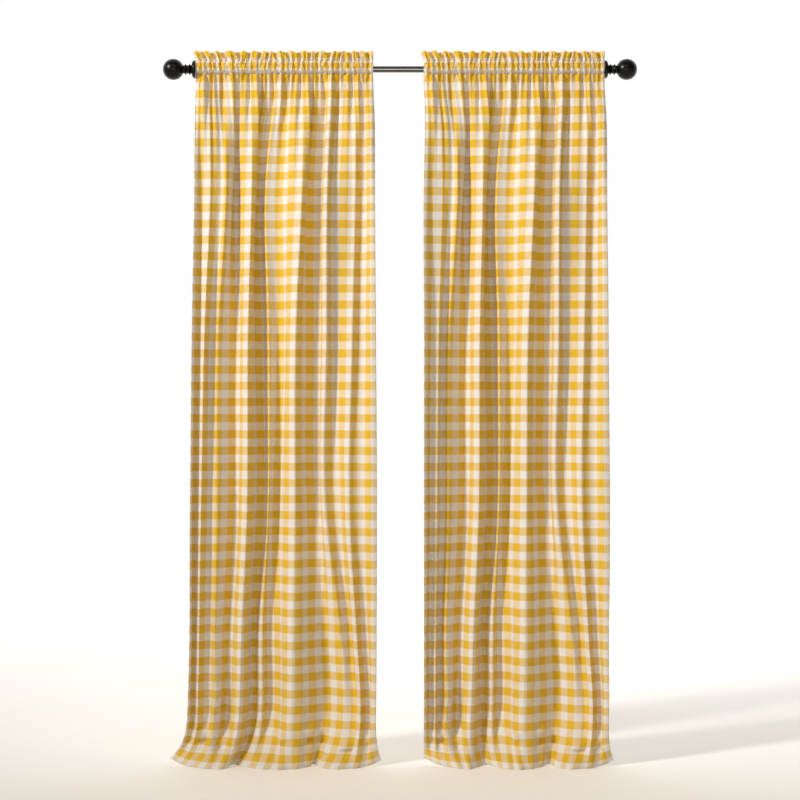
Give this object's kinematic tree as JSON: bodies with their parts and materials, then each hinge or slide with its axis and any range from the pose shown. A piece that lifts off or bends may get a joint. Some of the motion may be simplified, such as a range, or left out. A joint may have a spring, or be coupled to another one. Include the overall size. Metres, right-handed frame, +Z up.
{
  "type": "pair of gingham rod-pocket curtains on a curtain rod",
  "caption": "Two floor-length checked cotton curtain panels with a ruffled rod-pocket heading, gathered on one round curtain rod with turned ball finials.",
  "frame": {"origin": "on the rod's axis, halfway between its ends", "axes": "+Z up, +X along the rod towards the right finial as seen from the room, +Y towards the wall"},
  "size_m": [1.411, 0.1231, 2.1151],
  "materials": {
    "rod": "gloss black lacquer",
    "finials": "gloss black lacquer on turned resin",
    "cloth": "yarn-dyed yellow and white gingham cotton"
  },
  "bodies": {
    "root": {"rod": "rod", "finial_left": "finials", "finial_right": "finials", "panel_left": "cloth", "panel_right": "cloth"}
  },
  "joints": []
}
